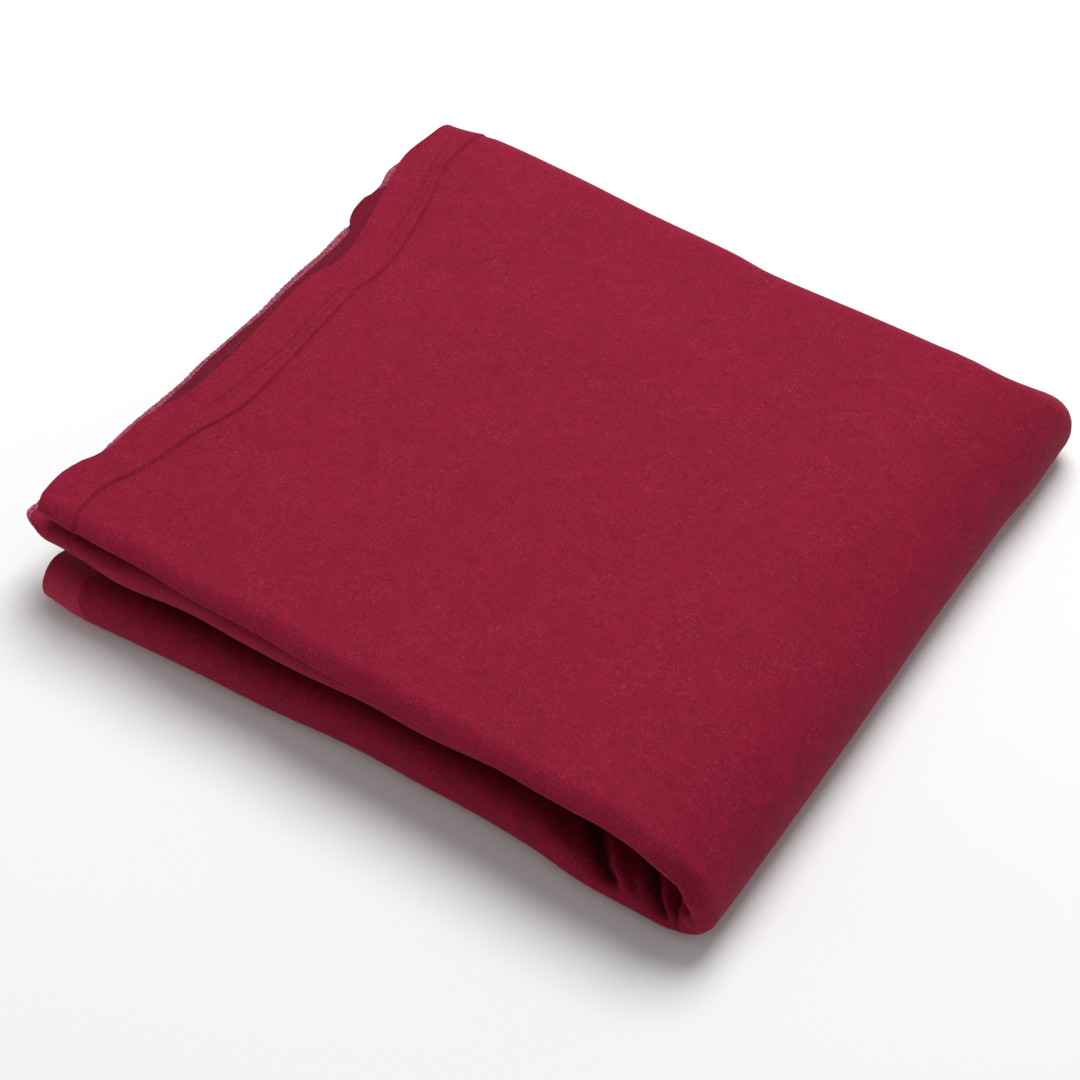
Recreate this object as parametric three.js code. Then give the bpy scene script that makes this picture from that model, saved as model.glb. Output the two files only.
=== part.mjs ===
// A length of turban cloth, folded flat and lying on a surface. Millimetres, +Z up.
// X runs from the open end on the left to the bent end on the right, Y from front to back.
//
// The cloth is folded three times, and each fold is one step of the geometry:
//   1. its length is laid to and fro in layers, joined by a fold at the end of the lower arm
//   2. both selvedges are brought to the middle and the strip is closed like a book, which gives
//      four leaves: the top leaf and the leaf under it share the first front roll, the next two
//      share the second front roll, and the outermost and the innermost share the back roll
//   3. the stack is bent round on itself, so an upper arm lies over a lower arm
// A wall of the solid stands for four plies of voile that lie together.
import * as THREE from 'three';

// Overall sizes of the bundle.
const HEIGHT = 49.5;
const BEND_X = 304;
const ARM_FRONT_Y = 34.8;
const ARM_BACK_Y = 310;

// Walls of cloth. A strip is two walls with a gap of air between them.
const WALL = 1.6;
const AIR = 0.5;
const LAYER_STEP = (WALL + AIR) / 2;
const STRIP_HALF = LAYER_STEP + WALL / 2;

// The bend: the outer curve falls in a long quarter to its furthest point, which gravity has
// pulled below the middle, and turns under in a short one. The inner curve is a hairpin.
const SHOULDER = 50;
const NOSE_HEIGHT = 15;
const TURN_UNDER = 18;
const BEND_ROUNDNESS = 2.2;
const HAIRPIN_DEPTH = 24.3;
const HAIRPIN_X = 279;
const HAIRPIN_RETURN = 9;

// The stack is thinner along the front, where the gap between the arms is open, and in the bend,
// where it leaves an eye.
const MIDDLE_STACK = 23;
const GAP_CLOSES_IN = 70;
const EYE_REACH = 0.9;

// How far a leaf takes to come down from its roll to its own level.
const ROLL_BLEND = 24;
// The free selvedges stop this far short of the axis of the back roll.
const SELVEDGE_SHORT = 5;

// The run of the rolls, from the open end of the upper arm (way 0), through the bend (1 to 2),
// to the end of the lower arm (3). Both front rolls are given by how far they lie behind the
// front of the upper arm, the back roll by how far it stands out, and stack is the thickness
// along the front.
const RUN = [
  { way: 0.00, firstBack: 0.0, firstRadius: 2.1, secondBack: -1.0, secondRadius: 4.3, back: 0, stack: 23.2 },
  { way: 0.12, firstBack: 0.0, firstRadius: 2.1, secondBack: -0.8, secondRadius: 4.9, back: 0, stack: 24.0 },
  { way: 0.36, firstBack: 0.0, firstRadius: 2.1, secondBack: 0.2, secondRadius: 4.2, back: 0, stack: 20.5 },
  { way: 0.68, firstBack: 0.0, firstRadius: 2.1, secondBack: 3.3, secondRadius: 4.1, back: 0, stack: 20.5 },
  { way: 0.95, firstBack: 0.0, firstRadius: 2.1, secondBack: 9.5, secondRadius: 3.6, back: 0, stack: 20.5 },
  { way: 1.10, firstBack: 0.0, firstRadius: 2.1, secondBack: 14.0, secondRadius: 3.2, back: 1, stack: 20.5 },
  { way: 1.50, firstBack: -0.8, firstRadius: 2.3, secondBack: 20.0, secondRadius: 2.6, back: 19, stack: 20.5 },
  { way: 1.95, firstBack: -1.6, firstRadius: 4.4, secondBack: 33.0, secondRadius: 2.2, back: 16, stack: 20.5 },
  { way: 2.18, firstBack: 0.2, firstRadius: 6.2, secondBack: 38.0, secondRadius: 2.1, back: 14, stack: 20.5 },
  { way: 2.40, firstBack: -0.8, firstRadius: 7.1, secondBack: 40.0, secondRadius: 2.1, back: 12, stack: 20.5 },
  { way: 2.70, firstBack: -6.8, firstRadius: 7.1, secondBack: 38.0, secondRadius: 2.1, back: 8, stack: 20.5 },
  { way: 2.93, firstBack: -13.2, firstRadius: 7.1, secondBack: 32.0, secondRadius: 2.1, back: 3, stack: 20.5 },
  { way: 3.00, firstBack: -10.0, firstRadius: 6.8, secondBack: 32.0, secondRadius: 2.1, back: 1, stack: 20.5 },
];

// Soft waves of the upper arm's back edge, by the distance from the open end.
const BACK_WAVES = [
  { x: 0, out: 0 },
  { x: 24, out: 4 },
  { x: 60, out: 2.6 },
  { x: 134, out: -0.6 },
  { x: 168, out: -3.2 },
  { x: 215, out: -2.2 },
  { x: 252, out: -1.5 },
];

// Where each leaf ends on the left, from the front (across 0) to the back (across 1).
const TOP_EDGE = [
  { across: 0.00, x: 3 },
  { across: 0.06, x: 0 },
  { across: 0.13, x: 6 },
  { across: 0.27, x: 17 },
  { across: 0.42, x: 14 },
  { across: 0.64, x: 18 },
  { across: 0.76, x: 10 },
  { across: 0.90, x: 2 },
  { across: 1.00, x: 2 },
];
const SECOND_EDGE = [
  { across: 0.00, x: 3 },
  { across: 0.70, x: 4 },
  { across: 0.84, x: 0 },
  { across: 0.92, x: -1 },
];
const THIRD_EDGE = [
  { across: 0.00, x: -4.5 },
  { across: 0.20, x: 2 },
  { across: 0.50, x: 4 },
  { across: 0.75, x: 2 },
  { across: 0.92, x: -1 },
];
const FOURTH_EDGE = [
  { across: 0.00, x: -4.5 },
  { across: 0.20, x: 3 },
  { across: 0.55, x: 5 },
  { across: 1.00, x: 3 },
];
// Where the folded end of the lower arm lies, rounded at its corners.
const LOWER_END = [
  { across: 0.00, x: 7 },
  { across: 0.05, x: 3.5 },
  { across: 0.12, x: 2 },
  { across: 0.92, x: 2 },
  { across: 1.00, x: 7 },
];
// The top leaf's end is turned under, and this hem stands out a little on its outer side.
const HEM_WIDTH = 17;
const HEM_RISE = 0.4;
const HEM_STEP = 1.5;
// A wall under another one sticks out a little further.
const UNDER_WALL_OUT = 2;

// How finely each stretch is cut.
const ARM_STEPS = 8;
const BEND_STEPS = 5;
const END_FOLD_STEPS = 4;
const FRONT_ROLL_STEPS = 5;
const BACK_ROLL_STEPS = 7;
const BLEND_STEPS = 2;
const LEAF_STEPS = 3;

const mix = (a, b, t) => a + (b - a) * t;
const smooth = (t) => {
  const c = Math.min(1, Math.max(0, t));
  return c * c * (3 - 2 * c);
};

// Steps through the bend from -1 to 1, closer together at the nose, where it turns most.
const nearNose = (t) => Math.sign(t) * Math.abs(t) ** 1.5;

// The value of one column of a table at a place between its rows.
function read(table, key, place, column) {
  if (place <= table[0][key]) return table[0][column];
  for (let i = 1; i < table.length; i += 1) {
    const before = table[i - 1];
    const after = table[i];
    if (place <= after[key]) {
      const t = (place - before[key]) / (after[key] - before[key]);
      return mix(before[column], after[column], smooth(t));
    }
  }
  return table[table.length - 1][column];
}

// The thickness of the stack at a distance behind its front.
function stackDepth(way, behindFront) {
  const alongFront = read(RUN, 'way', way, 'stack');
  const outOfBend = smooth((Math.abs(way - 1.5) - 0.5) / EYE_REACH);
  return mix(alongFront, MIDDLE_STACK, smooth(behindFront / GAP_CLOSES_IN) * outOfBend);
}

// The section of the folded strip, seen along the arm: y and the depth below the bundle's outer
// surface, from the selvedge inside the top leaves to the selvedge inside the lower ones.
// Each point has its outward normal, its leaf's left edge, and how far across the leaf it is.
function section(way, backWave) {
  const firstRadius = read(RUN, 'way', way, 'firstRadius');
  const secondRadius = read(RUN, 'way', way, 'secondRadius');
  const front = ARM_FRONT_Y + read(RUN, 'way', way, 'firstBack');
  const secondFront = ARM_FRONT_Y + read(RUN, 'way', way, 'secondBack');
  const back = ARM_BACK_Y + read(RUN, 'way', way, 'back') + backWave;

  const depthAt = (y) => stackDepth(way, y - ARM_FRONT_Y);
  const innermost = (y) => depthAt(y) - STRIP_HALF;
  const level = (y, third) => mix(STRIP_HALF, innermost(y), third / 3);

  const firstAxis = front + STRIP_HALF + firstRadius;
  const secondAxis = secondFront + STRIP_HALF + secondRadius;
  const backRadius = (innermost(back) - STRIP_HALF) / 2;
  const backAxis = back - STRIP_HALF - backRadius;
  const selvedge = backAxis - SELVEDGE_SHORT;

  const points = [];
  const add = (y, depth, edge, nextEdge, turn) => {
    const across = (y - front) / (back - front);
    points.push({ y, depth, edge, nextEdge, turn, across });
  };
  const leaf = (from, to, steps, depth, edge) => {
    for (let i = 1; i <= steps; i += 1) {
      const y = mix(from, to, i / steps);
      add(y, depth(y), edge, edge, 0);
    }
  };
  const roll = (axis, centre, radius, start, steps, edge, nextEdge) => {
    for (let i = 1; i <= steps; i += 1) {
      const angle = start + (Math.PI * i) / steps;
      add(axis + radius * Math.cos(angle), centre + radius * Math.sin(angle), edge, nextEdge, i / steps);
    }
  };

  const firstTop = STRIP_HALF + 2 * firstRadius;
  const secondLeaf = (y) => mix(firstTop, level(y, 1), smooth((y - firstAxis) / ROLL_BLEND));
  const fourthLeaf = (y) => innermost(y);
  const secondTop = innermost(secondAxis) - 2 * secondRadius;
  const thirdLeaf = (y) => mix(secondTop, level(y, 2), smooth((y - secondAxis) / ROLL_BLEND));
  const secondCentre = innermost(secondAxis) - secondRadius;

  add(selvedge, secondLeaf(selvedge), SECOND_EDGE, SECOND_EDGE, 0);
  leaf(selvedge, firstAxis + ROLL_BLEND, LEAF_STEPS, secondLeaf, SECOND_EDGE);
  leaf(firstAxis + ROLL_BLEND, firstAxis, BLEND_STEPS, secondLeaf, SECOND_EDGE);
  roll(firstAxis, STRIP_HALF + firstRadius, firstRadius, Math.PI / 2, FRONT_ROLL_STEPS, SECOND_EDGE, TOP_EDGE);
  // The top leaf is cut where its wavy end changes its course.
  const cuts = TOP_EDGE.map((row) => mix(front, back, row.across));
  cuts.filter((y) => y > firstAxis && y < backAxis).concat(backAxis).forEach((y) => {
    add(y, STRIP_HALF, TOP_EDGE, TOP_EDGE, 0);
  });
  roll(backAxis, STRIP_HALF + backRadius, backRadius, -Math.PI / 2, BACK_ROLL_STEPS, TOP_EDGE, FOURTH_EDGE);
  leaf(backAxis, secondAxis, LEAF_STEPS + BLEND_STEPS, fourthLeaf, FOURTH_EDGE);
  roll(secondAxis, secondCentre, secondRadius, Math.PI / 2, FRONT_ROLL_STEPS, FOURTH_EDGE, THIRD_EDGE);
  leaf(secondAxis, secondAxis + ROLL_BLEND, BLEND_STEPS, thirdLeaf, THIRD_EDGE);
  leaf(secondAxis + ROLL_BLEND, selvedge, LEAF_STEPS, thirdLeaf, THIRD_EDGE);

  // Outward normals, from the run of the line through its neighbours.
  points.forEach((point, i) => {
    const before = points[Math.max(0, i - 1)];
    const after = points[Math.min(points.length - 1, i + 1)];
    const alongY = after.y - before.y;
    const alongDepth = after.depth - before.depth;
    const length = Math.hypot(alongY, alongDepth);
    point.outY = alongDepth / length;
    point.outDepth = -alongY / length;
  });
  return points;
}

// A point of the outer curve of the bend and of its hairpin, for a turn from 0 to 1. The nose,
// the furthest point, is at a half.
function bendPoint(turn, depth) {
  const quarter = (t) => {
    const angle = (t * Math.PI) / 2;
    return {
      out: Math.sin(angle) ** (2 / BEND_ROUNDNESS),
      up: Math.cos(angle) ** (2 / BEND_ROUNDNESS),
    };
  };
  let outerX;
  let outerZ;
  let innerX;
  let innerZ;
  if (turn <= 0.5) {
    const q = quarter(turn * 2);
    outerX = BEND_X - SHOULDER * (1 - q.out);
    outerZ = NOSE_HEIGHT + (HEIGHT - NOSE_HEIGHT) * q.up;
    innerX = mix(BEND_X - SHOULDER, HAIRPIN_X, turn * 2);
    innerZ = mix(HEIGHT - HAIRPIN_DEPTH, HEIGHT / 2, turn * 2);
  } else {
    const q = quarter(2 - turn * 2);
    outerX = BEND_X - TURN_UNDER * (1 - q.out);
    outerZ = NOSE_HEIGHT * (1 - q.up);
    innerX = HAIRPIN_X - HAIRPIN_RETURN * (turn * 2 - 1);
    innerZ = mix(HEIGHT / 2, HAIRPIN_DEPTH, turn * 2 - 1);
  }
  const t = depth / HAIRPIN_DEPTH;
  return { x: mix(outerX, innerX, t), z: mix(outerZ, innerZ, t) };
}

// The place of a point of the section on the bent stack. End is the x of the leaf's own edge.
function onArms(way, depth, end) {
  if (way <= 1) {
    return { x: mix(end, BEND_X - SHOULDER, way), z: HEIGHT - depth };
  }
  if (way < 2) return bendPoint(way - 1, depth);
  const start = bendPoint(1, depth);
  return { x: mix(start.x, end, way - 2), z: depth };
}

// One layer's run along the arms, and the fold that joins the two layers at the lower end.
// Out is the wall's distance to the outer side of the strip, past is how far it passes the edge,
// and outFace and pastFace point from the middle of the wall to its outer side.
function layers() {
  const armLength = BEND_X - SHOULDER;
  const hemEnd = (HEM_WIDTH + HEM_STEP) / armLength;
  const run = [0, HEM_WIDTH / armLength, hemEnd];
  for (let i = 1; i <= ARM_STEPS; i += 1) run.push(i / ARM_STEPS);
  for (let i = 1; i <= 2 * BEND_STEPS; i += 1) run.push(1.5 + 0.5 * nearNose(i / BEND_STEPS - 1));
  for (let i = 1; i <= ARM_STEPS; i += 1) run.push(2 + i / ARM_STEPS);
  const layer = (way, side) => ({
    way,
    out: side * LAYER_STEP,
    past: 0,
    outFace: side,
    pastFace: 0,
    under: side < 0,
    hem: side > 0 && way < hemEnd ? HEM_RISE : 0,
  });
  const outer = run.map((way) => layer(way, 1));
  const inner = run.map((way) => layer(way, -1));
  const fold = [];
  for (let i = 1; i < END_FOLD_STEPS; i += 1) {
    const angle = (Math.PI * i) / END_FOLD_STEPS;
    fold.push({
      way: 3,
      out: LAYER_STEP * Math.cos(angle),
      past: LAYER_STEP * Math.sin(angle),
      outFace: Math.cos(angle),
      pastFace: Math.sin(angle),
      under: false,
      hem: 0,
    });
  }
  return [...outer, ...fold, ...inner.reverse()];
}

// The x of the edge that a point of the section runs out to.
function edgeX(station, point) {
  if (station.way > 1) return read(LOWER_END, 'across', point.across, 'x');
  const own = read(point.edge, 'across', point.across, 'x');
  const next = read(point.nextEdge, 'across', point.across, 'x');
  return mix(own, next, smooth(point.turn)) - (station.under ? UNDER_WALL_OUT : 0);
}

// One face of the wall, as a grid of points: face 1 is the outer side of the strip's outer layer.
function wallFace(face) {
  return layers().map((station) => {
    const waveX = station.way <= 1 ? station.way * (BEND_X - SHOULDER) : BEND_X - SHOULDER;
    const fade = smooth(2 - station.way);
    const points = section(station.way, read(BACK_WAVES, 'x', waveX, 'out') * fade);
    const hem = face > 0 ? station.hem : 0;
    const out = station.out + (face * station.outFace * WALL) / 2 + hem;
    const past = station.past + (face * station.pastFace * WALL) / 2;
    return points.map((point) => {
      const y = point.y + out * point.outY;
      const depth = point.depth + out * point.outDepth;
      const place = onArms(station.way, depth, edgeX(station, point));
      return [place.x - past, y, place.z];
    });
  });
}

// A closed sheet of cloth from the grids of its two faces, with a rim all round.
function sheet(outerFace, innerFace) {
  const rows = outerFace.length;
  const columns = outerFace[0].length;
  const positions = [...outerFace.flat(2), ...innerFace.flat(2)];
  const outer = (r, c) => r * columns + c;
  const inner = (r, c) => rows * columns + r * columns + c;
  const index = [];
  const quad = (a, b, c, d) => index.push(a, b, c, a, c, d);
  for (let r = 0; r < rows - 1; r += 1) {
    // The layer beneath runs the other way, so its quads are split to match the ones above.
    const beneath = r >= rows / 2;
    for (let c = 0; c < columns - 1; c += 1) {
      if (beneath) {
        quad(outer(r + 1, c), outer(r + 1, c + 1), outer(r, c + 1), outer(r, c));
        quad(inner(r, c + 1), inner(r + 1, c + 1), inner(r + 1, c), inner(r, c));
      } else {
        quad(outer(r, c), outer(r + 1, c), outer(r + 1, c + 1), outer(r, c + 1));
        quad(inner(r, c), inner(r, c + 1), inner(r + 1, c + 1), inner(r + 1, c));
      }
    }
    const last = columns - 1;
    quad(outer(r, 0), inner(r, 0), inner(r + 1, 0), outer(r + 1, 0));
    quad(outer(r, last), outer(r + 1, last), inner(r + 1, last), inner(r, last));
  }
  for (let c = 0; c < columns - 1; c += 1) {
    const last = rows - 1;
    quad(outer(0, c), outer(0, c + 1), inner(0, c + 1), inner(0, c));
    quad(outer(last, c), inner(last, c), inner(last, c + 1), outer(last, c + 1));
  }
  const geometry = new THREE.BufferGeometry();
  geometry.setAttribute('position', new THREE.Float32BufferAttribute(positions, 3));
  geometry.setIndex(index);
  geometry.computeVertexNormals();
  return geometry;
}

const voile = new THREE.MeshStandardMaterial({ color: 0x8e2139, roughness: 0.9, metalness: 0 });
const cloth = new THREE.Mesh(sheet(wallFace(1), wallFace(-1)), voile);
cloth.name = 'turban_cloth';

// The origin is under the middle of the bundle, on the surface that it lies on.
cloth.geometry.computeBoundingBox();
const box = cloth.geometry.boundingBox;
cloth.position.set(-(box.min.x + box.max.x) / 2, -(box.min.y + box.max.y) / 2, -box.min.z);

const bundle = new THREE.Group();
bundle.add(cloth);
export default bundle;
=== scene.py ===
import math

import bpy
import numpy as np
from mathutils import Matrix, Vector


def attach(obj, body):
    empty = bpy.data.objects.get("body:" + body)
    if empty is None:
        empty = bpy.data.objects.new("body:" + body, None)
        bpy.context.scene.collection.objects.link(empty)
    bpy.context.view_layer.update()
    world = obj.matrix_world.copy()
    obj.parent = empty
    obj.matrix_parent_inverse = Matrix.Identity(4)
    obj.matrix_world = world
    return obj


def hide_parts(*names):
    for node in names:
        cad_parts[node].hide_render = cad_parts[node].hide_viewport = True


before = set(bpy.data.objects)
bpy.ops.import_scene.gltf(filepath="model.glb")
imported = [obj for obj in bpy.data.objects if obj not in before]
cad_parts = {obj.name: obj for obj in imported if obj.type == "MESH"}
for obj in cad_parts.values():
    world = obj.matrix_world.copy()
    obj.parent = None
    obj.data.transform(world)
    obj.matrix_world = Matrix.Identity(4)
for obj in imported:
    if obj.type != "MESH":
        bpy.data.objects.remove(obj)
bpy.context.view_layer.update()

# A length of turban cloth, folded flat. The fold maps repeat the solid's, with its named values in
# millimetres, and here every one of the cloth's plies is drawn, as one continuous sheet.

# Overall sizes of the bundle.
HEIGHT = 49.5
BEND_X = 304.0
ARM_FRONT_Y = 34.8
ARM_BACK_Y = 310.0

# A strip's middle line in the solid keeps this distance from the faces of the stack.
STRIP_HALF = 1.85
# The outermost ply lies just under the solid's face, and the others follow it inwards. They lie
# closer together round the rolls than in the flat of the leaves.
PLIES = 8
PLY_FACE = 0.1
SPREAD_AT_ROLL = 3.4
SPREAD_IN_LEAF = 4.2
SPREAD_GROWS_IN = 20.0
TURN_CLEAR = 0.3
# The outermost ply stands off the others by this part of the spread.
FIRST_GAP = 0.26

# The bend.
SHOULDER = 50.0
NOSE_HEIGHT = 15.0
TURN_UNDER = 18.0
BEND_ROUNDNESS = 2.2
HAIRPIN_DEPTH = 24.3
HAIRPIN_X = 279.0
HAIRPIN_RETURN = 9.0

# The stack's thickness behind its front.
MIDDLE_STACK = 23.0
GAP_CLOSES_IN = 70.0
# How far past the bend its hairpin still holds the arms apart, as a share of an arm.
EYE_REACH = 0.9

# A leaf leaves its roll over this width, and its selvedge stops short of the back roll.
ROLL_BLEND = 24.0
SELVEDGE_SHORT = 5.0

# Heights of the waves along the front rolls and in the droop. The nose's own waves lie between these
# two places on the way.
FRONT_WAVE = 0.5
SECOND_WAVE = 0.7
DROOP_WAVE = 0.25
NOSE_WAVE = 0.45
NOSE_FROM_WAY = 1.1
NOSE_TO_WAY = 1.9
NOSE_FADES_IN = 0.2

# How many steps each roll has in the section.
FIRST_ROLL_STEPS = 13
BACK_ROLL_STEPS = 12
SECOND_ROLL_STEPS = 11

# The run of the rolls. Radii are those of the outermost ply, and droop is how far the top leaf
# comes down to its front roll: way, firstBack, firstRadius, droop, secondBack, secondRadius, back,
# stack.
RUN = [
    (0.00, 0.0, 1.8, 2.0, -1.0, 4.4, 0, 23.2),
    (0.12, 0.0, 1.8, 2.8, -0.8, 4.9, 0, 24.0),
    (0.36, 0.0, 1.8, 3.6, 0.2, 5.6, 0, 20.5),
    (0.68, 0.0, 1.8, 3.8, 3.3, 5.6, 0, 20.5),
    (0.95, 0.0, 1.9, 3.8, 9.5, 5.2, 0, 20.5),
    (1.10, 0.0, 2.1, 3.6, 14.0, 4.9, 1, 20.5),
    (1.50, -0.2, 2.8, 2.4, 20.0, 4.3, 19, 20.5),
    (1.80, -0.3, 4.8, 1.0, 28.0, 4.0, 17, 20.5),
    (1.95, -0.8, 6.2, 0.4, 33.0, 3.9, 16, 20.5),
    (2.09, -2.0, 7.4, 0.1, 36.3, 3.8, 15, 20.5),
    (2.20, 0.4, 8.0, 0.0, 38.0, 3.8, 14, 20.5),
    (2.40, -0.2, 8.9, 0.0, 40.0, 3.8, 12, 20.5),
    (2.70, -5.8, 8.9, 0.0, 38.0, 3.8, 8, 20.5),
    (2.86, -8.7, 8.9, 0.0, 35.0, 3.8, 5, 20.5),
    (2.94, -10.4, 8.9, 0.0, 32.5, 3.8, 3, 20.5),
    (3.00, -9.2, 8.6, 0.0, 32.0, 3.8, 1, 20.5),
]
FIRST_BACK, FIRST_RADIUS, DROOP, SECOND_BACK, SECOND_RADIUS, BACK, STACK = range(1, 8)
# Along the front roll the top leaf slopes down at this angle, and levels out over this width.
FACET = math.radians(46)
FACET_EASE = 6.0

# Soft waves of the upper arm's back edge: x, out.
BACK_WAVES = [
    (0, 0), (24, 4.5), (60, 2.8), (95, 1.2), (134, -0.2), (150, -1.2), (168, -3.2), (215, -2.2),
    (242, -2.2), (262, -1.2), (290, 0.6),
]
# Soft waves of the bent end: y, out. They lie between these two places on the way.
BEND_WAVES = [
    (30, 0.5), (60, 0.9), (120, 0.7), (160, 0.2), (215, -0.8), (262, -0.8), (290, 0.6), (320, 0.4),
]
BENT_FROM_WAY = 0.5
BENT_TO_WAY = 2.6
BENT_FADES_IN = 0.5

# Where each leaf ends on the left, from front to back: across, x.
TOP_EDGE = [
    (0.00, 3.0), (0.02, 1.4), (0.057, 0.5), (0.093, 2.7), (0.121, 6.4), (0.147, 7.6), (0.199, 8.0),
    (0.227, 9.8), (0.30, 15.3), (0.40, 15.4), (0.47, 14.5), (0.53, 13.6), (0.576, 13.3), (0.61, 16.4),
    (0.64, 17.0), (0.72, 12.9), (0.797, 7.1), (0.885, 1.4), (0.94, 2.2), (1.00, 3.2),
]
SECOND_EDGE = [(0.00, 3), (0.70, 4), (0.84, 0), (0.92, -1)]
THIRD_EDGE = [(0.00, -5.4), (0.05, -5.6), (0.09, -3.6), (0.20, 2), (0.50, 4), (0.75, 2), (0.92, -1)]
FOURTH_EDGE = [(0.00, 7.5), (0.05, 6.0), (0.20, 4.5), (0.55, 5), (1.00, 3)]
LOWER_END = [(0.00, 6.5), (0.05, 4.5), (0.12, 4), (0.92, 2), (1.00, 7)]

# The turned end of the cloth: how wide the turned part is, and how far the hem's line lies from the
# end, by across.
HEM_WIDTH = 17.0
HEM_SPREAD = [
    (0.00, 17.0), (0.10, 17.0), (0.20, 21.0), (0.27, 21.5), (0.34, 22.5), (0.42, 21.6), (0.54, 21.6),
    (0.62, 19.2), (0.725, 19.8), (0.80, 20.0), (0.866, 18.2), (0.925, 16.0), (1.00, 15.5),
]
# It lifts the ply over it by a rise, over the width of a step. Off the top leaf only a part of the
# rise is left. Its fold stands past the end by a layer.
HEM_RISE = 0.9
HEM_STEP = 1.4
HEM_BELOW = 0.25
HEM_LAYER = 0.26

# The lighter bands at the ends of the lower arm and of the roll over it: where each border lies at
# a height, and its slant. The upper band is fainter, because its mark stops at the last value.
LOWER_BAND_X = 27.0
LOWER_BAND_Z = 10
LOWER_BAND_SLANT = 0.55
UPPER_BAND_X = 5.5
UPPER_BAND_Z = 30
UPPER_BAND_SLANT = 0.3
UPPER_BAND_FAINT = -0.05

# The leaves of the section, and the places of its columns between the two ends of each leaf.
TOP, SECOND, THIRD, FOURTH = range(4)
EDGES = (TOP_EDGE, SECOND_EDGE, THIRD_EDGE, FOURTH_EDGE)
SECOND_T = np.concatenate([
    np.linspace(0, 0.26, 24), np.linspace(0.26, 0.88, 13)[1:], np.linspace(0.88, 1, 12)[1:],
])
TOP_T = np.concatenate([np.linspace(0, 0.045, 11), np.linspace(0.045, 1, 56)[1:]])[1:]
FOURTH_T = np.linspace(0, 1, 21)[1:]
THIRD_T = np.concatenate([np.linspace(0, 0.12, 12), np.linspace(0.12, 1, 17)[1:]])[1:]

# How far each ply's own end stands back from its leaf's end, by leaf: top, second, third, fourth.
END_BACK = [
    (0.0, 1.8, 0.0, 0.4),
    (2.2, 0.0, 0.0, 0.0),
    (2.8, 0.6, 1.0, 0.6),
    (2.6, 0.9, 1.2, 0.8),
    (3.2, 0.0, 1.8, 1.4),
    (3.8, 0.8, 2.4, 2.0),
    (3.8, 0.8, 2.4, 2.0),
    (3.2, 0.0, 1.8, 1.4),
]
# Two ends of the second leaf show past the top leaf: the cut end of one ply, which is sheer, and
# the folds of the plies on top of it, which stand out in two lobes at the back.
CUT_END = [
    (0.00, 3.0), (0.10, 1.2), (0.125, -2.0), (0.144, -2.7), (0.178, -2.5), (0.212, -2.2), (0.248, -1.2),
    (0.284, -0.4), (0.32, 0.2), (0.39, 0.6), (0.57, 0.6), (0.644, 0.0), (0.71, -0.4), (0.745, 0.6),
    (0.80, 2.0), (0.90, 0.4), (1.00, 3.0),
]
# The same ply's cut end in the third and the fourth leaf.
CUT_END_THIRD = [
    (0.00, -8.6), (0.02, -9.2), (0.05, -8.8), (0.08, -7.0), (0.14, -3.0), (0.25, 2.0), (1.00, 3.0),
]
CUT_END_FOURTH = [(0.00, 6.5), (0.05, 5.0), (0.20, 4.5), (1.00, 4.0)]
CUT_ENDS = {SECOND: CUT_END, THIRD: CUT_END_THIRD, FOURTH: CUT_END_FOURTH}
FOLD_END = [
    (0.00, 3.6), (0.16, 6.6), (0.27, 9.0), (0.42, 8.6), (0.60, 10.0), (0.68, 8.4), (0.715, 4.4),
    (0.732, 0.6), (0.755, -1.4), (0.777, -1.7), (0.797, -0.2), (0.812, -0.3), (0.857, -2.8), (0.874, -2.6),
    (0.913, -0.9), (0.94, 1.7), (1.00, 3.0),
]
# The cut end sags where it stands out past this x, by the sag times that distance to the power.
SAG_FROM = 4.0
SAG = 0.11
SAG_POWER = 1.6
# All plies' ends but the first one's are a little uneven: height, length, how far the lengths
# differ, and how far the waves shift from ply to ply.
WOBBLE = 0.3
WOBBLE_LENGTH = 9
WOBBLE_LENGTH_RANGE = 4
WOBBLE_SHIFT = 2.4
# Inside the hem a low welt runs along it: its x by across, and how much of it shows.
WELT = [
    (0.26, 24.5), (0.298, 26.7), (0.359, 28.6), (0.422, 30.4), (0.521, 28.6), (0.61, 28.4), (0.705, 26.1),
    (0.792, 21.9), (0.837, 18.0), (0.889, 14.0), (0.95, 11.5),
]
WELT_SHOWS = [
    (0.24, 0.0), (0.30, 1.0), (0.53, 1.0), (0.59, 0.3), (0.67, 0.3), (0.71, 1.0), (0.89, 1.0), (0.94, 0.0),
]
WELT_RISE = 0.45
WELT_STEP = 1.1
# Soft creases of the upper arm: from, to, depth.
CREASES = [((24, 247), (70, 258), 0.75), ((38, 105), (88, 99), 0.75), ((225, 210), (262, 176), 0.5)]
CREASE_WIDTH = 5.5
# They begin and end softly along their length, and grow in from this height upwards.
CREASE_BEGINS_IN = 8
CREASE_ENDS_IN = 16
CREASE_FROM_Z = 30
CREASE_GROWS_IN = 15
# Pleats of the front roll and the leaf inside it, round the lower half of the bend: each one's
# place at the top of the roll, its slant, depth and width, and how far down the roll it runs.
PLEATS = [
    (243, 0.8, 1.3, 3.6, 5), (257.5, 0.85, 4.4, 5.4, 12), (269.5, 0.8, 1.7, 2.6, 9),
    (280, 0.75, 4.2, 3.6, 12), (289, 0.35, 3.0, 1.9, 16), (296.5, 0.3, 2.2, 1.4, 18),
]
# The far side of a pleat is steeper than the near side.
PLEAT_LIP = 0.45
PLEAT_SLOPE = 1.5
PLEAT_SHARPNESS = 1.6
# Between the pleats the first ply stands out by the rise, and the others stay clear of it.
PLEAT_RISE = 0.6
PLEAT_CLEAR = 3.2
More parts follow.
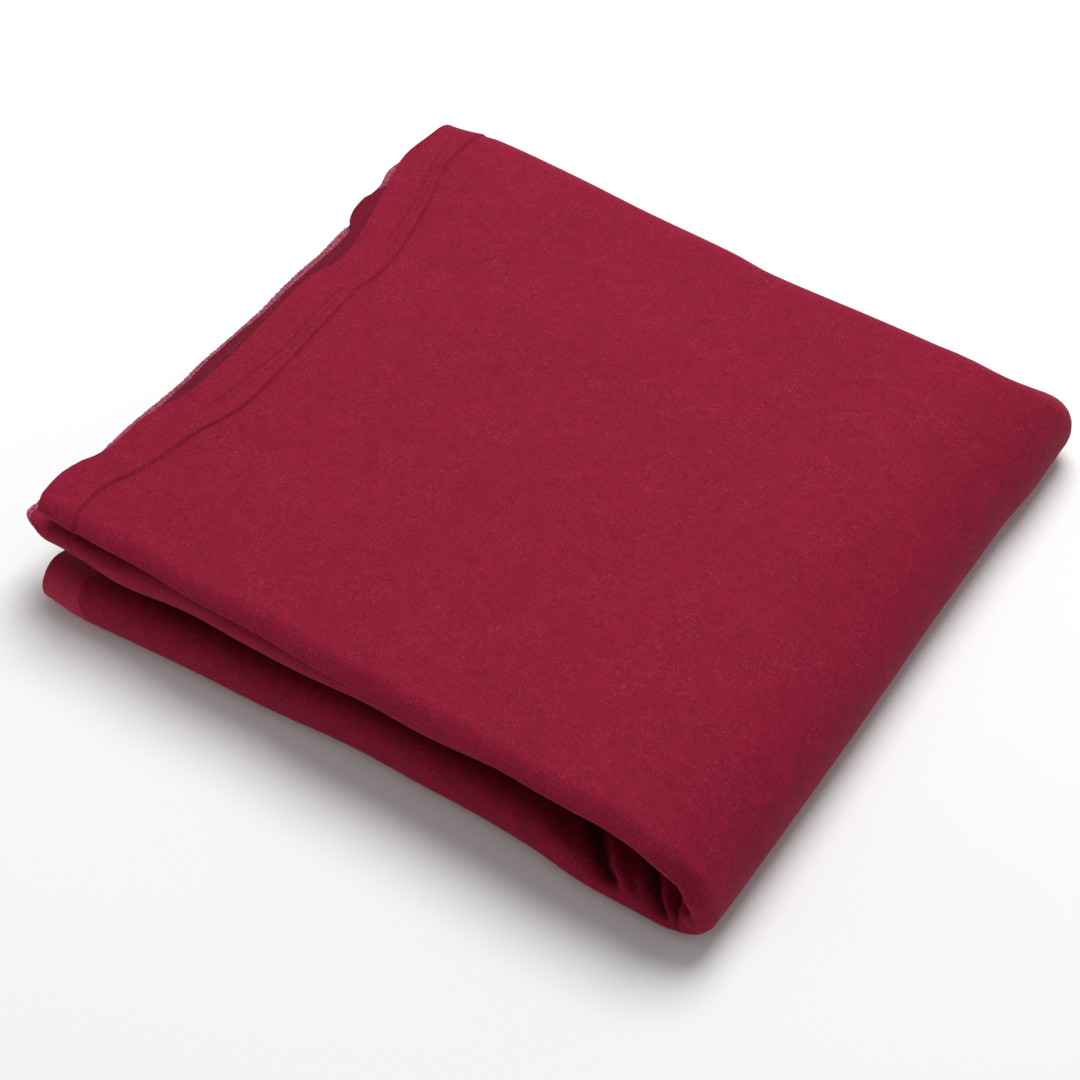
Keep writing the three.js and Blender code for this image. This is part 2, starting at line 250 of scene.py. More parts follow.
# Where the pleats begin and end along the way, and how far inside the roll they and the rise reach.
PLEATS_FROM_WAY = 1.4
PLEATS_TO_WAY = 2.36
PLEAT_REACH = 22
RISE_REACH = 26
# Past this part of the roll's turn they run out.
PLEATS_TO_TURN = 0.6
# The order in which the cloth runs through the plies, from its turned end: folded in half three
# times, so the last fold nests all the plies at the end of the lower arm.
ORDER = [0, 7, 4, 3, 2, 5, 6, 1]

# A distance that is too far to count, in millimetres.
FAR_OFF = 99.0
# From this part of the way across, the folds of the back lobe look as worn as the cloth does at this
# distance from its cut end. Elsewhere the distance is greater by the last value, so they look whole.
WORN_FROM = 0.80
WORN_IN = 0.02
WORN_AT = 2.2
WORN_ELSEWHERE = 4

# The gentle unevenness of the whole bundle.
UNEVEN_HEIGHT = 0.22
UNEVEN_WAVES = 7
UNEVEN_SHORTEST = 70
UNEVEN_LONGEST = 160

# The colours of the voile, and the distance in millimetres from the welt of a second line of painted shade
# beside it.
MAROON = (0.242, 0.0053, 0.0275, 1)
FLECK_PINK = (0.50, 0.075, 0.14, 1)
SHEER_PINK = (0.50, 0.13, 0.22, 1)
SHEEN_PINK = (1.0, 0.32, 0.5, 1)
SECOND_LINE_AT = 2.7

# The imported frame's origin, in the part's own millimetres.
ORIGIN = (148.7537663, 175.4856548, 0.0)

ARM_LENGTH = BEND_X - SHOULDER
rng = np.random.default_rng(7)


def smooth(t):
    c = np.clip(t, 0.0, 1.0)
    return c * c * (3 - 2 * c)


def mix(a, b, t):
    return a + (b - a) * t


def curve(table, column, place):
    """A table's column at a place between its rows, on a smooth line that never overshoots."""
    rows = np.asarray(table, float)
    keys = rows[:, 0]
    values = rows[:, column]
    steps = np.diff(keys)
    rises = np.diff(values) / steps
    slopes = np.zeros(len(keys))
    before, after = rises[:-1], rises[1:]
    same = before * after > 0
    slopes[1:-1][same] = 2 * before[same] * after[same] / (before[same] + after[same])
    place = np.clip(place, keys[0], keys[-1])
    i = np.clip(np.searchsorted(keys, place, side="right") - 1, 0, len(steps) - 1)
    h = steps[i]
    t = (place - keys[i]) / h
    start = (1 + 2 * t) * (1 - t) ** 2 * values[i] + t * (1 - t) ** 2 * h * slopes[i]
    end = t * t * (3 - 2 * t) * values[i + 1] + t * t * (t - 1) * h * slopes[i + 1]
    return start + end


def stack_depth(way, behind_front):
    """How deep the stack of leaves is, at a place on the way and a distance behind its front."""
    out_of_bend = smooth((np.abs(way - 1.5) - 0.5) / EYE_REACH)
    grown = smooth(behind_front / GAP_CLOSES_IN) * out_of_bend
    return mix(curve(RUN, STACK, way), MIDDLE_STACK, grown)


def waves(seed, count, shortest, longest):
    """A soft random wave along one line, of height about 1, as a function of the distance."""
    own = np.random.default_rng(seed)
    lengths = own.uniform(shortest, longest, count)
    phases = own.uniform(0, 2 * np.pi, count)
    heights = own.uniform(0.5, 1.0, count) / math.sqrt(count)

    def wave(x):
        x = np.asarray(x, float)[..., None]
        return np.sum(heights * np.sin(2 * np.pi * x / lengths + phases), axis=-1)

    return wave


front_wave = waves(3, 5, 48, 95)
second_wave = waves(5, 5, 45, 95)
low_wave = waves(9, 5, 58, 120)
nose_wave = waves(4, 4, 24, 52)


def section(way):
    """The outermost ply's section at each way: y, depth, the outward normal, and each point's leaf."""
    way = np.asarray(way, float)[:, None]
    run_x = way * ARM_LENGTH
    first_radius = curve(RUN, FIRST_RADIUS, way)
    second_radius = curve(RUN, SECOND_RADIUS, way)
    droop = curve(RUN, DROOP, way) * (1 + DROOP_WAVE * low_wave(run_x))
    near_nose = smooth((way - NOSE_FROM_WAY) / NOSE_FADES_IN) * smooth((NOSE_TO_WAY - way) / NOSE_FADES_IN)
    rim_wave = FRONT_WAVE * front_wave(run_x) + NOSE_WAVE * near_nose * nose_wave(run_x)
    front = ARM_FRONT_Y + curve(RUN, FIRST_BACK, way) + rim_wave
    second_front = ARM_FRONT_Y + curve(RUN, SECOND_BACK, way) + SECOND_WAVE * second_wave(run_x)
    wave_x = np.clip(way, 0, 1) * ARM_LENGTH
    back_wave = curve(BACK_WAVES, 1, wave_x) * smooth(2 - way)
    back = ARM_BACK_Y + curve(RUN, BACK, way) + back_wave
    face = STRIP_HALF - PLY_FACE

    def level(y, third):
        inner = stack_depth(way, y - ARM_FRONT_Y) - STRIP_HALF
        return mix(STRIP_HALF, inner, third / 3)

    first_axis = front + first_radius
    second_axis = second_front + second_radius
    back_radius = stack_depth(way, back - ARM_FRONT_Y) / 2 - PLY_FACE
    back_axis = back - PLY_FACE - back_radius
    selvedge = back_axis - SELVEDGE_SHORT
    first_face = PLY_FACE + droop + 2 * first_radius
    slope = math.tan(FACET)
    facet_start = first_axis - first_radius * math.sin(FACET)
    drop = droop + first_radius * (1 - math.cos(FACET))
    ease = np.minimum(FACET_EASE, 2 * drop / slope)
    straight = drop / slope - ease / 2
    second_base = stack_depth(way, second_axis - ARM_FRONT_Y) - PLY_FACE

    def top_leaf(y):
        behind = y - facet_start
        eased = slope * ease / 2 * np.clip(1 - (behind - straight) / ease, 0, 1) ** 2
        return PLY_FACE + np.where(behind < straight, drop - slope * behind, eased)

    def second_leaf(y):
        return mix(first_face, level(y, 1) + face, smooth((y - first_axis) / ROLL_BLEND))

    def third_leaf(y):
        blend = smooth((y - second_axis) / ROLL_BLEND)
        return mix(second_base - 2 * second_radius, level(y, 2) - face, blend)

    def fourth_leaf(y):
        return level(y, 3) + face

    parts = []

    def leaf(a, b, t, depth, kind):
        y = mix(a, b, t[None, :])
        parts.append((y, depth(y), kind, kind, np.zeros(len(t))))

    def roll(axis, centre, radius, start, steps, kind, next_kind, sweep=math.pi):
        angle = (start + sweep * np.arange(1, steps + 1) / steps)[None, :]
        y, depth = axis + radius * np.cos(angle), centre + radius * np.sin(angle)
        parts.append((y, depth, kind, next_kind, np.arange(1, steps + 1) / steps))

    # A roll starts either at its deep side or at its shallow side.
    deep = math.pi / 2
    shallow = -math.pi / 2
    first_centre = PLY_FACE + droop + first_radius
    back_centre = PLY_FACE + back_radius
    second_centre = second_base - second_radius
    leaf(selvedge, first_axis, SECOND_T, second_leaf, SECOND)
    roll(first_axis, first_centre, first_radius, deep, FIRST_ROLL_STEPS, SECOND, TOP, math.pi - FACET)
    leaf(facet_start, back_axis, TOP_T, top_leaf, TOP)
    roll(back_axis, back_centre, back_radius, shallow, BACK_ROLL_STEPS, TOP, FOURTH)
    leaf(back_axis, second_axis, FOURTH_T, fourth_leaf, FOURTH)
    roll(second_axis, second_centre, second_radius, deep, SECOND_ROLL_STEPS, FOURTH, THIRD)
    leaf(second_axis, selvedge, THIRD_T, third_leaf, THIRD)

    y = np.concatenate([part[0] for part in parts], axis=1)
    depth = np.concatenate([part[1] for part in parts], axis=1)
    kind = np.concatenate([np.full(part[0].shape[1], part[2]) for part in parts])
    next_kind = np.concatenate([np.full(part[0].shape[1], part[3]) for part in parts])
    turn = np.concatenate([part[4] for part in parts])
    along_y = np.gradient(y, axis=1)
    along_depth = np.gradient(depth, axis=1)
    length = np.hypot(along_y, along_depth)
    # How far each point lies from the nearest roll, for the spread of the plies.
    at_first = np.isin(kind, (TOP, SECOND))[None, :]
    near_front = np.where(at_first, y - first_axis, y - second_axis)
    near_back = np.where(np.isin(kind, (TOP, FOURTH))[None, :], back_axis - y, FAR_OFF)
    flat = smooth(np.minimum(near_front, near_back) / SPREAD_GROWS_IN)
    tight = np.where(at_first & (near_back > near_front), first_radius, second_radius)
    at_roll = np.minimum(SPREAD_AT_ROLL, tight - TURN_CLEAR)
    return {
        "y": y, "depth": depth, "out_y": along_depth / length, "out_depth": -along_y / length,
        "kind": kind, "next_kind": next_kind, "turn": turn, "across": (y - front) / (back - front),
        "spread": mix(at_roll, SPREAD_IN_LEAF, flat),
        "from_roll_top": np.where(turn > 0, turn * math.pi * first_radius, first_axis - y),
    }


def bend_point(turn, depth):
    """A point between the bend's outer curve and its hairpin, for a turn from 0 to 1."""
    turn = np.asarray(turn, float)
    early = turn <= 0.5
    t = np.where(early, turn * 2, 2 - turn * 2)
    angle = t * np.pi / 2
    out = np.clip(np.sin(angle), 0, 1) ** (2 / BEND_ROUNDNESS)
    up = np.clip(np.cos(angle), 0, 1) ** (2 / BEND_ROUNDNESS)
    outer_x = np.where(early, BEND_X - SHOULDER * (1 - out), BEND_X - TURN_UNDER * (1 - out))
    outer_z = np.where(early, NOSE_HEIGHT + (HEIGHT - NOSE_HEIGHT) * up, NOSE_HEIGHT * (1 - up))
    inner_x = np.where(
        early, mix(BEND_X - SHOULDER, HAIRPIN_X, turn * 2), HAIRPIN_X - HAIRPIN_RETURN * (turn * 2 - 1)
    )
    inner_z = np.where(
        early,
        mix(HEIGHT - HAIRPIN_DEPTH, HEIGHT / 2, turn * 2),
        mix(HEIGHT / 2, HAIRPIN_DEPTH, turn * 2 - 1),
    )
    t = depth / HAIRPIN_DEPTH
    return mix(outer_x, inner_x, t), mix(outer_z, inner_z, t)


def on_arms(way, depth, end):
    """The place of a point of the section on the bent stack."""
    bend_x, bend_z = bend_point(np.clip(way - 1, 0, 1), depth)
    low_x = mix(bend_x, end, np.clip(way - 2, 0, 1))
    x = np.where(way <= 1, mix(end, ARM_LENGTH, np.clip(way, 0, 1)), np.where(way < 2, bend_x, low_x))
    z = np.where(way <= 1, HEIGHT - depth, np.where(way < 2, bend_z, depth))
    return x, z


def ply_level(ply):
    """A ply's level in its leaf, from 1 outside to -1 inside."""
    if ply == 0:
        return 1.0
    return 1 - 2 * mix(FIRST_GAP, 1, (ply - 1) / (PLIES - 2))


def stations():
    """The sheet's rows: way, level in the stack, how far past the end, ply, and place in the hem."""
    rows = []
    # The first ply has rows close together at its hem and round the bend, and the others have few.
    fine = np.concatenate([
        np.array([0, 0.5, 1.2]) / ARM_LENGTH,
        np.linspace(2.5, 10, 4) / ARM_LENGTH,
        np.linspace(11, 24.5, 34) / ARM_LENGTH,
        np.linspace(25.5, 44, 14) / ARM_LENGTH,
        np.linspace(44 / ARM_LENGTH, 1, 36)[1:],
        1.5 - 0.5 * np.linspace(1, 0, 14)[1:] ** 1.4,
        1.5 + 0.5 * np.linspace(0, 1, 25)[1:] ** 1.2,
        np.linspace(2, 2.2, 43)[1:],
        np.linspace(2.2, 3, 30)[1:],
    ])
    coarse_nose = np.array([np.sign(t) * abs(t) ** 1.4 for t in np.linspace(-1, 1, 9)])
    coarse = np.concatenate([
        np.array([0, 0.6, 1.4, 3, 6]) / ARM_LENGTH,
        np.linspace(12 / ARM_LENGTH, 1, 12),
        1.5 + 0.5 * coarse_nose[1:],
        np.linspace(2, 3, 11)[1:],
    ])

    def row(way, level, past, ply, hem=0.0):
        rows.append((way, level, past, ply, hem))

    # The turned-under part of the first ply's end, from its raw edge to the fold.
    for x in (HEM_WIDTH, 14.0, 10.0, 6.0, 3.0, 1.0, 0.0):
        row(x / ARM_LENGTH, ply_level(0), 0.0, 0, -1.0)
    for angle in (-60.0, -20.0, 20.0, 60.0):
        turned = math.radians(angle)
        row(0.0, ply_level(0), HEM_LAYER * math.cos(turned), 0, math.sin(turned))
    for number, ply in enumerate(ORDER):
        onwards = number % 2 == 0
        ways = fine if ply == 0 else coarse
        for way in ways if onwards else ways[::-1]:
            row(way, ply_level(ply), 0.0, ply, 1.0 if ply == 0 else 0.0)
        if number == len(ORDER) - 1:
            break
        after = ORDER[number + 1]
        a, b = ply_level(ply), ply_level(after)
        steps = 8 if abs(ply - after) > 6 else 4
        for i in range(1, steps):
            angle = math.pi * i / steps
            level = mix(a, b, (1 - math.cos(angle)) / 2)
            weight = mix(ply, after, (1 - math.cos(angle)) / 2)
            row(3.0 if onwards else 0.0, level, abs(a - b) / 2 * math.sin(angle), weight)
    return np.array(rows)


def pleats(x, way, cut, fine):
    """How far the front roll and its inner leaf stand out round the bend, and how deep it is there, for
    the painted shade in the pleats.
    """
    there = smooth((way - PLEATS_FROM_WAY) / 0.2) * smooth((PLEATS_TO_WAY - way) / 0.15)
    down = cut["from_roll_top"]
    fold = np.full_like(x, PLEAT_RISE)
    for at, slant, deep, wide, stop in PLEATS:
        place = (x - at - slant * down) / wide
        place = np.where(place > 0, place / PLEAT_LIP, place / PLEAT_SLOPE)
        fades = smooth((down + PLEAT_REACH) / 10) * smooth((stop - down) / 6)
        fold = fold - deep * fades * np.exp(-np.abs(place) ** PLEAT_SHARPNESS)
    fold = np.where(fine, fold, -PLEAT_CLEAR)
    turned = smooth((cut["turn"][None, :] - PLEATS_TO_TURN) / 0.4)
    ends = smooth((down + RISE_REACH) / 10) * (1 - turned)
    on_roll = (cut["kind"] == SECOND)[None, :]
    return fold * there * ends * on_roll, np.clip(-fold / PLEAT_CLEAR, 0, 1) * there * ends * on_roll


def sheet_points():
    """The sheet's points in the part's own millimetres, and the marks that its material reads."""
    rows = stations()
    way, level, past, ply, hem = rows.T
    cut = section(way)
    spread = cut["spread"]
    out = -spread * (1 - level[:, None]) / 2
    end_back = np.array(END_BACK)
    kind, next_kind, turn = cut["kind"], cut["next_kind"], smooth(cut["turn"])
    across = cut["across"]
    hem_row = hem[:, None]
    on_upper = (way <= 1)[:, None]
    is_first = (ply < 0.5)[:, None]
    is_cut = (np.abs(ply - 1) < 0.1)[:, None]
    is_nested = (ply > 3.5)[:, None]
    on_second = (kind == SECOND)[None, :]

    # The left end of each ply, which goes over from one leaf's to the next one's round each roll.
    own = np.empty_like(cut["y"])
    following = np.empty_like(cut["y"])
    for k, table in enumerate(EDGES):
        value = curve(table, 1, across)
        if k in CUT_ENDS:
            value = np.where(is_cut, curve(CUT_ENDS[k], 1, across), value)
        if k == SECOND:
            value = np.where(is_nested, curve(FOLD_END, 1, across), value)
        value = value + np.interp(ply, np.arange(PLIES), end_back[:, k])[:, None]
        own[:, kind == k] = value[:, kind == k]
        following[:, next_kind == k] = value[:, next_kind == k]
    upper_end = mix(own, following, turn[None, :])
    wobble = rng.uniform(-1, 1, (4, 3))
    phase = ply[:, None] * WOBBLE_SHIFT
    for a, b, c in wobble:
        length = WOBBLE_LENGTH + WOBBLE_LENGTH_RANGE * a
        uneven = WOBBLE * np.sin(cut["y"] / length + phase * (2 + b) + 6 * c)
        upper_end = upper_end + uneven * ~is_first
    lower_end = curve(LOWER_END, 1, across)
    end = np.where(on_upper, upper_end, lower_end)

    # The hem: the first ply's end is turned under, which lifts the ply over it.
    from_end = way[:, None] * ARM_LENGTH
    from_hem = from_end - curve(HEM_SPREAD, 1, across)
    on_top_leaf = np.where(kind == TOP, 1 - turn, np.where(next_kind == TOP, turn, 0.0))
    lift = HEM_RISE * mix(HEM_BELOW, 1.0, on_top_leaf)[None, :] * (1 - smooth(from_hem / HEM_STEP))
    out = out + np.where(is_first & on_upper, lift * (hem_row + 1) / 2, 0.0)

    # Pleats where the front roll grows on its way round the bend.
    x, _ = on_arms(way[:, None], cut["depth"], end)
    fold, painted_pleat_shade = pleats(x, way[:, None], cut, is_first)
    out = out + fold

    y = cut["y"] + out * cut["out_y"]
    depth = cut["depth"] + out * cut["out_depth"]
    x, z = on_arms(way[:, None], depth, end)
    x = x - past[:, None] * np.where((way >= 3)[:, None] | (hem_row == 0), spread / 2, 1.0)

    # The sheer end sags.
    sag = SAG * np.clip(SAG_FROM - x, 0, None) ** SAG_POWER
    z = z - np.where(is_cut & on_second & on_upper, sag, 0.0)

    # The welt inside the hem, and the waves of the bent end.
    on_top = is_first & on_upper & (hem_row > 0.5) & (kind == TOP)[None, :]
    shows = curve(WELT_SHOWS, 1, across)
    from_welt = x - curve(WELT, 1, across)
    z = z + np.where(on_top, WELT_RISE * shows * (1 - smooth(from_welt / WELT_STEP + 0.5)), 0.0)
    bent = smooth((way - BENT_FROM_WAY) / BENT_FADES_IN) * smooth((BENT_TO_WAY - way) / BENT_FADES_IN)
    x = x + curve(BEND_WAVES, 1, y) * bent[:, None]
    points = np.stack([x, y, z], axis=-1)
    # The folds of the second leaf's plies are a little worn at the back lobe.
    worn = smooth((across - WORN_FROM) / WORN_IN)
    from_fold = from_end + WORN_AT + WORN_ELSEWHERE * (1 - worn)
    from_fold = np.where(is_nested & on_upper & on_second, from_fold, FAR_OFF)
    over_hem = is_first & on_upper & (hem_row > -0.5) & (next_kind == TOP)[None, :]
    marks = {
        # Millimetres from the cut end, the hem's line, the border of each end's band and the welt.
        "from_cut": np.where(is_cut & on_upper, from_end, from_fold),
        "from_hem": np.where(over_hem, from_hem, FAR_OFF),
        "from_band": end_bands(points, way, ply, cut),
        "from_welt": np.where(on_top, from_welt, FAR_OFF),
        # How much of the welt shows, for the painted shade along it, and how deep the pleats are, for the
        # painted shade in them.
        "welt": shows,
        "painted_pleat_shade": painted_pleat_shade,
        # The inner plies of the second leaf, which show past the top leaf, get painted shade there.
        "painted_shade_past_top": ~is_first & on_upper & on_second,
    }
    return points, marks


def end_bands(points, way, ply, cut):
    """Millimetres from the border of the lighter band at the end of the lower arm or of its roll."""
    x, z = points[..., 0], points[..., 2]
    lower = x + LOWER_BAND_SLANT * (z - LOWER_BAND_Z) - LOWER_BAND_X
    upper = x + UPPER_BAND_SLANT * (z - UPPER_BAND_Z) - UPPER_BAND_X
    on_lower = (way >= 2)[:, None]
    on_roll = ((way <= 1)[:, None]) & np.isin(cut["kind"], (THIRD, FOURTH))[None, :]
    border = np.where(on_lower, lower, np.where(on_roll, np.maximum(upper, UPPER_BAND_FAINT), FAR_OFF))
    return np.where((ply < 0.5)[:, None], border, FAR_OFF)


def flat_lengths(points):
    """How far along the flat cloth each row and column lies, in millimetres."""
    rows = np.linalg.norm(np.diff(points, axis=0), axis=-1)
    columns = np.linalg.norm(np.diff(points, axis=1), axis=-1)
    down = np.concatenate([[0], np.cumsum(np.median(rows, axis=1))])
    across = np.concatenate([[0], np.cumsum(np.median(columns, axis=0))])
    return down, across


def make_cloth():
    """The cloth's mesh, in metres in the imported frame."""
    points, marks = sheet_points()
    down, across = flat_lengths(points)
    # Gentle unevenness of the whole bundle, which the plies share.
    x, y, z = points[..., 0], points[..., 1], points[..., 2]
    high = smooth(z / HEIGHT)
    soft = np.random.default_rng(21)
    lift = np.zeros_like(x)
    for _ in range(UNEVEN_WAVES):
        angle = soft.uniform(0, np.pi)
        length = soft.uniform(UNEVEN_SHORTEST, UNEVEN_LONGEST)
        phase = soft.uniform(0, 2 * np.pi)
        lift += np.sin(2 * np.pi * (x * math.cos(angle) + y * math.sin(angle)) / length + phase)
    z = z + UNEVEN_HEIGHT * lift * high
    for (from_x, from_y), (to_x, to_y), deep in CREASES:
        length = math.hypot(to_x - from_x, to_y - from_y)
        along = ((x - from_x) * (to_x - from_x) + (y - from_y) * (to_y - from_y)) / length
        off = ((x - from_x) * (to_y - from_y) - (y - from_y) * (to_x - from_x)) / length
        fades = smooth(along / CREASE_BEGINS_IN) * smooth((length - along) / CREASE_ENDS_IN)
        fades = fades * smooth((z - CREASE_FROM_Z) / CREASE_GROWS_IN)
        z = z - deep * fades * np.exp(-(off / CREASE_WIDTH) ** 2)
    points = np.stack([x - ORIGIN[0], y - ORIGIN[1], z], axis=-1) / 1000
    count_r, count_c = points.shape[:2]
    index = np.arange(count_r * count_c).reshape(count_r, count_c)
    corners = [index[:-1, :-1], index[1:, :-1], index[1:, 1:], index[:-1, 1:]]
    quads = np.stack(corners, axis=-1).reshape(-1, 4)
    mesh = bpy.data.meshes.new("turban_voile")
    mesh.vertices.add(count_r * count_c)
    mesh.vertices.foreach_set("co", points.reshape(-1))
    mesh.loops.add(quads.size)
    mesh.loops.foreach_set("vertex_index", quads.reshape(-1))
    mesh.polygons.add(len(quads))
    mesh.polygons.foreach_set("loop_start", np.arange(0, quads.size, 4))
    mesh.polygons.foreach_set("use_smooth", np.ones(len(quads), bool))
    mesh.update(calc_edges=True)
    for name, values in marks.items():
        mark = mesh.attributes.new(name, "FLOAT", "POINT")
        values = np.broadcast_to(values, x.shape).astype(np.float32)
        mark.data.foreach_set("value", values.reshape(-1))
    layer = mesh.uv_layers.new(name="flat_cloth")
    flat = np.stack(np.broadcast_arrays(across[None, :], down[:, None]), axis=-1)
    flat = flat.reshape(-1, 2) / 1000
    layer.data.foreach_set("uv", flat[quads.reshape(-1)].reshape(-1))
    cloth = bpy.data.objects.new("turban_voile", mesh)
    bpy.context.scene.collection.objects.link(cloth)
    return cloth


def node(nodes, kind, **values):
    """A new node, with the named values set on its sockets or on itself."""
    made = nodes.new(kind)
    for name, value in values.items():
        if name in made.inputs:
            made.inputs[name].default_value = value
        else:
            setattr(made, name, value)
    return made


def voile_material():
    """Maroon voile: thread, flecks and uneven dye, and the tones that the marks give, some of them painted
    shade and highlight.
    """
    material = bpy.data.materials.new("maroon_voile")
    material.use_nodes = True
    tree = material.node_tree
    nodes, links = tree.nodes, tree.links
    nodes.clear()
    output = node(nodes, "ShaderNodeOutputMaterial")
    shader = node(nodes, "ShaderNodeBsdfPrincipled")
    shader.inputs["Roughness"].default_value = 0.85
    shader.inputs["Specular IOR Level"].default_value = 0.16
    shader.inputs["Sheen Weight"].default_value = 0.05
    shader.inputs["Sheen Roughness"].default_value = 0.4
    shader.inputs["Sheen Tint"].default_value = SHEEN_PINK
    links.new(shader.outputs["BSDF"], output.inputs["Surface"])
    place = node(nodes, "ShaderNodeTexCoord")

    def noise(coords, scale, detail, stretch=(1, 1, 1)):
        mapping = node(nodes, "ShaderNodeMapping")
        mapping.inputs["Scale"].default_value = stretch
        links.new(place.outputs[coords], mapping.inputs["Vector"])
        made = node(nodes, "ShaderNodeTexNoise", Scale=scale, Detail=detail)
        links.new(mapping.outputs["Vector"], made.inputs["Vector"])
        return made.outputs["Fac"]

    def ranged(value, low, high, to_low, to_high):
        made = node(nodes, "ShaderNodeMapRange")
        made.inputs["From Min"].default_value = low
        made.inputs["From Max"].default_value = high
        made.inputs["To Min"].default_value = to_low
        made.inputs["To Max"].default_value = to_high
        links.new(value, made.inputs["Value"])
        return made.outputs["Result"]

    def maths(operation, first, second):
        made = node(nodes, "ShaderNodeMath", operation=operation)
        for socket, value in zip(made.inputs, (first, second)):
            if isinstance(value, (int, float)):
                socket.default_value = value
            else:
                links.new(value, socket)
        return made.outputs["Value"]

    def attribute(name):
        made = node(nodes, "ShaderNodeAttribute", attribute_name=name)
        return made.outputs["Fac"]

    # Threads each way, uneven in thickness, with a few thick places and pale flecks.
    warp = noise("UV", 1.0, 2.0, (2400, 160, 1))
    weft = noise("UV", 1.0, 2.0, (160, 2400, 1))
    threads = maths("ADD", warp, weft)
    slub = noise("Object", 1200.0, 1.5, (1.25, 0.6, 1))
    patch = noise("Object", 60.0, 3.0)
    fleck = maths("MULTIPLY", ranged(slub, 0.57, 0.72, 0.0, 1.0), ranged(patch, 0.42, 0.6, 0.25, 1.0))
    grain = noise("Object", 700.0, 3.0)
    mottle = noise("Object", 160.0, 4.0)
    cloud = noise("Object", 22.0, 3.0)
    band = ranged(attribute("from_band"), -0.5, 0.5, 1.0, 0.0)
    # Painted shade: the cloth is darker just past the hem's step, with a painted highlight just before it,
    # and along the welt and a second line beside it.
    from_hem = attribute("from_hem")
    from_welt = attribute("from_welt")
    from_second_line = maths("ABSOLUTE", maths("ADD", from_welt, -SECOND_LINE_AT), 0.0)
    welt = maths("MINIMUM", maths("ABSOLUTE", from_welt, 0.0), from_second_line)
    line = maths("MULTIPLY", ranged(welt, 0.1, 0.9, 1.0, 0.0), attribute("welt"))
    # Each tone is a value, the range it is read over, and its brightness at the range's two ends.
    shade = ranged(threads, 0.7, 1.3, 0.84, 1.16)
    for value, low, high, to_low, to_high in (
        (grain, 0.3, 0.7, 0.87, 1.13),
        (mottle, 0.3, 0.7, 0.92, 1.08),
        (cloud, 0.35, 0.65, 0.965, 1.035),
        (band, 0.0, 1.0, 1.0, 1.35),
        # Painted shade on the second leaf's inner plies, where the top leaf's edge shades them.
        (attribute("painted_shade_past_top"), 0.0, 1.0, 1.0, 0.64),
        # Painted shade in the pleats' valleys.
        (attribute("painted_pleat_shade"), 0.1, 0.9, 1.0, 0.3),
        # Painted shadow just past the hem's step, and a painted highlight just before it.
        (from_hem, 0.1, 3.2, 0.84, 1.0),
        (from_hem, -0.7, 0.1, 1.19, 1.0),
        # Painted shade along the welt and along a second line beside it.
        (line, 0.0, 1.0, 1.0, 0.84),
    ):
        shade = maths("MULTIPLY", shade, ranged(value, low, high, to_low, to_high))

    colour = node(nodes, "ShaderNodeMixRGB", blend_type="MULTIPLY")
    colour.inputs["Fac"].default_value = 1.0
    colour.inputs["Color1"].default_value = MAROON
    links.new(shade, colour.inputs["Color2"])
    flecked = node(nodes, "ShaderNodeMixRGB")
    flecked.inputs["Color2"].default_value = FLECK_PINK
    links.new(maths("MULTIPLY", fleck, 0.27), flecked.inputs["Fac"])
    links.new(colour.outputs["Color"], flecked.inputs["Color1"])

    # Near its cut end the single ply is sheer and frayed.
    from_cut = attribute("from_cut")
    fuzz = noise("Object", 900.0, 2.0)
    sheer = ranged(from_cut, 3.0, 5.2, 1.0, 0.0)
    paled = node(nodes, "ShaderNodeMixRGB")
    paled.inputs["Color2"].default_value = SHEER_PINK
    pale = maths("MULTIPLY", sheer, ranged(fuzz, 0.35, 0.65, 0.1, 0.8))
    links.new(maths("MAXIMUM", pale, maths("MULTIPLY", band, 0.07)), paled.inputs["Fac"])
    links.new(flecked.outputs["Color"], paled.inputs["Color1"])
    links.new(paled.outputs["Color"], shader.inputs["Base Color"])
    frayed = maths("GREATER_THAN", maths("ADD", from_cut, ranged(fuzz, 0.3, 0.7, -0.6, 0.5)), 0.15)
    links.new(frayed, shader.inputs["Alpha"])

    bump = node(nodes, "ShaderNodeBump", Strength=0.4, Distance=0.0002)
    links.new(maths("ADD", threads, maths("MULTIPLY", fleck, 0.6)), bump.inputs["Height"])
    links.new(bump.outputs["Normal"], shader.inputs["Normal"])
    return material


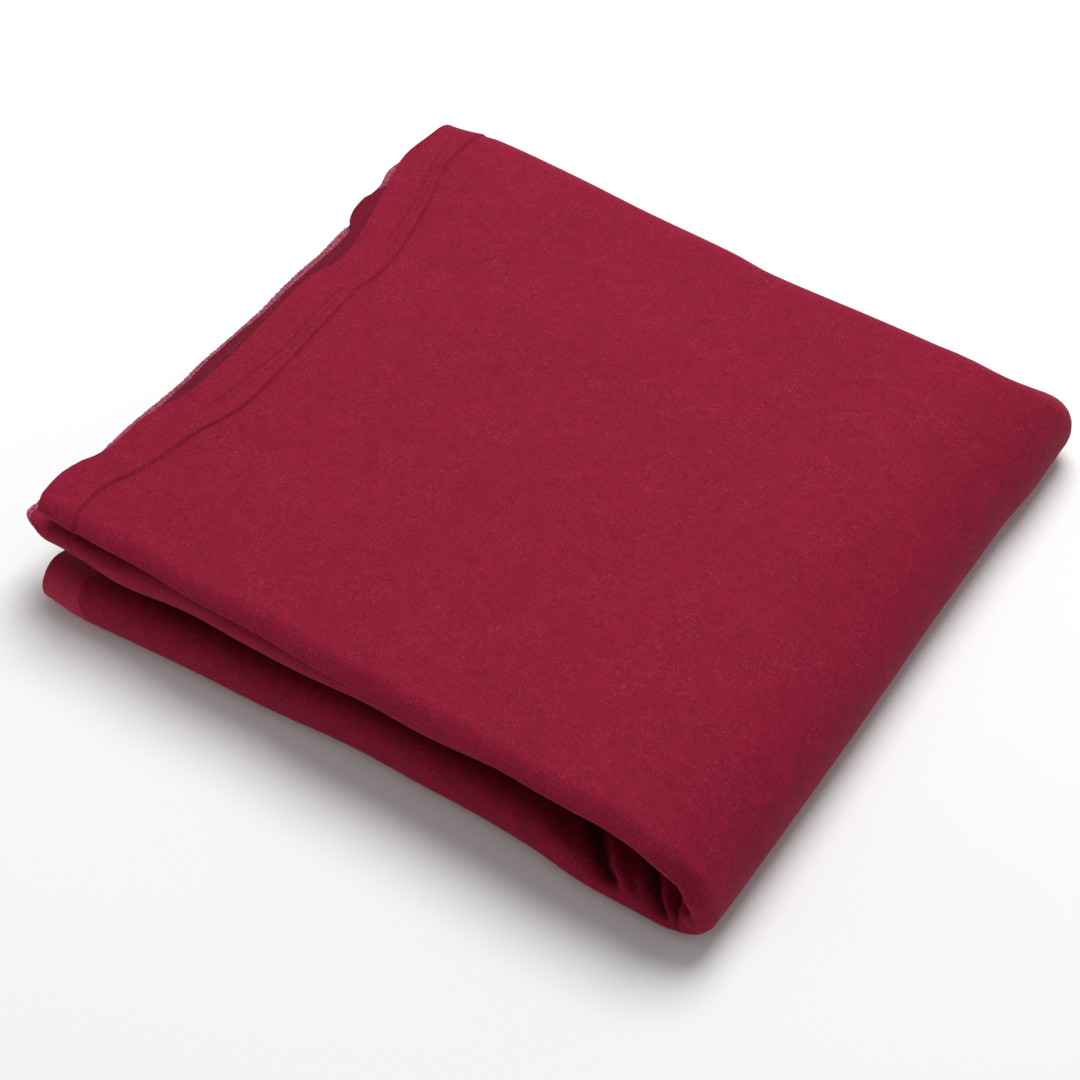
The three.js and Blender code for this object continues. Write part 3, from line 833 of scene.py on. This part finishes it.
def plain_material(name, colour, roughness):
    material = bpy.data.materials.new(name)
    material.use_nodes = True
    shader = material.node_tree.nodes["Principled BSDF"]
    shader.inputs["Base Color"].default_value = (*colour, 1)
    shader.inputs["Roughness"].default_value = roughness
    shader.inputs["Specular IOR Level"].default_value = 0.1
    return material


cloth = make_cloth()
cloth.data.materials.append(voile_material())
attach(cloth, "root")
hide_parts("turban_cloth")

# The floor and the light.
floor_mesh = bpy.data.meshes.new("floor")
half = 3.0
floor_corners = [(-half, -half, 0), (half, -half, 0), (half, half, 0), (-half, half, 0)]
floor_mesh.from_pydata(floor_corners, [], [(0, 1, 2, 3)])
floor = bpy.data.objects.new("floor", floor_mesh)
bpy.context.scene.collection.objects.link(floor)
floor.data.materials.append(plain_material("pale_floor", (0.94, 0.94, 0.94), 0.9))

world = bpy.data.worlds.new("studio")
bpy.context.scene.world = world
world.use_nodes = True
world.node_tree.nodes["Background"].inputs["Color"].default_value = (1, 1, 1, 1)
world.node_tree.nodes["Background"].inputs["Strength"].default_value = 0.33


def area_light(name, place, aim, size, power):
    light = bpy.data.lights.new(name, "AREA")
    light.shape = "DISK"
    light.size = size
    light.energy = power
    lamp = bpy.data.objects.new(name, light)
    lamp.location = place
    lamp.rotation_euler = (Vector(aim) - Vector(place)).to_track_quat("-Z", "Y").to_euler()
    bpy.context.scene.collection.objects.link(lamp)


area_light("key", (-0.2, 0.74, 1.55), (0, 0, 0), 1.1, 27.8)
area_light("card", (-0.75, -0.8, 0.12), (0, 0, 0.02), 0.5, 1.5)

# The camera at the photograph's angle.
camera_data = bpy.data.cameras.new("camera")
camera_data.sensor_width = 36
camera_data.sensor_fit = "HORIZONTAL"
camera_data.lens = 82.9
camera = bpy.data.objects.new("camera", camera_data)
eye = Vector((0.3635, -0.5528, 0.7616))
target = Vector((0.01125, -0.0305, 0.024))
camera.location = eye
camera.rotation_euler = (target - eye).to_track_quat("-Z", "Y").to_euler()
bpy.context.scene.collection.objects.link(camera)
bpy.context.scene.camera = camera
bpy.context.scene.view_settings.view_transform = "Standard"
